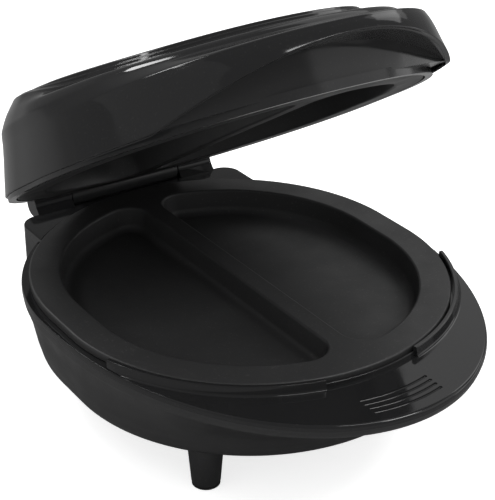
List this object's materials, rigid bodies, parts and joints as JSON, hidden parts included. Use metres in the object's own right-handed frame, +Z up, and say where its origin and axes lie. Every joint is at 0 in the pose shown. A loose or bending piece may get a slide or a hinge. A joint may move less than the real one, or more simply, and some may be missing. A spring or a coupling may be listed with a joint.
{
  "type": "electric omelette maker",
  "caption": "Clamshell electric omelette maker with half-moon cooking wells, a grip lip with a guard ridge, a hinged lid with a finger arch, and a bowl-shaped base on legs.",
  "frame": {"origin": "On the table, under the middle of the whole piece's outline with the lid part open as in the picture", "axes": "+X to the right as seen from the grip lip, +Y back towards the hinge, +Z up"},
  "size_m": [0.208, 0.275, 0.2204],
  "materials": {
    "satin_black_plastic": "satin moulded",
    "gloss_black_plastic": "high gloss",
    "nonstick_aluminium": "matte non-stick coating",
    "element_steel": "dull sheath",
    "sheet_steel": "galvanised",
    "sheet_aluminium": "mill finish",
    "screw_steel": "zinc plated",
    "pin_steel": "ground",
    "black_rubber": "matte",
    "ceramic": "unglazed steatite",
    "fuse_sleeving": "woven glass",
    "brown_insulation": "silicone",
    "blue_insulation": "silicone",
    "green_insulation": "silicone",
    "red_lens": "clear moulded",
    "green_lens": "clear moulded",
    "lamp_glass": "clear"
  },
  "bodies": {
    "base": {"base_shell": "satin_black_plastic", "base_frame": "gloss_black_plastic", "foot_pads": "black_rubber", "lower_plate": "nonstick_aluminium", "lower_heater": "element_steel", "lower_heater_clamps": "sheet_steel", "lower_clamp_screws": "screw_steel", "lower_heat_shield": "sheet_aluminium", "lower_plate_screws": "screw_steel", "base_casing_screws": "screw_steel", "thermostat": "ceramic", "thermostat_screws": "screw_steel", "thermal_fuse": "fuse_sleeving", "fuse_clip": "sheet_steel", "terminal_block": "ceramic", "terminal_screws": "screw_steel", "live_lead": "brown_insulation", "neutral_lead": "blue_insulation", "earth_lead": "green_insulation", "hinge_sleeve": "black_rubber", "cord_inlet_bush": "black_rubber", "hinge_pin_left": "pin_steel", "hinge_pin_right": "pin_steel"},
    "lid": {"lid_shell": "gloss_black_plastic", "lid_frame": "gloss_black_plastic", "upper_plate": "nonstick_aluminium", "upper_heater": "element_steel", "upper_heater_clamps": "sheet_steel", "upper_clamp_screws": "screw_steel", "upper_heat_shield": "sheet_aluminium", "upper_plate_screws": "screw_steel", "lid_casing_screws": "screw_steel", "power_lens": "red_lens", "ready_lens": "green_lens", "power_lamp": "lamp_glass", "ready_lamp": "lamp_glass", "lid_live_lead": "brown_insulation", "lid_neutral_lead": "blue_insulation"}
  },
  "joints": [
    {"name": "lid_hinge", "type": "hinge", "parent": "base", "child": "lid", "pos_m": [0, 0.13146, 0.067], "axis": [-1, 0, 0], "range_deg": [-31, 69]}
  ]
}
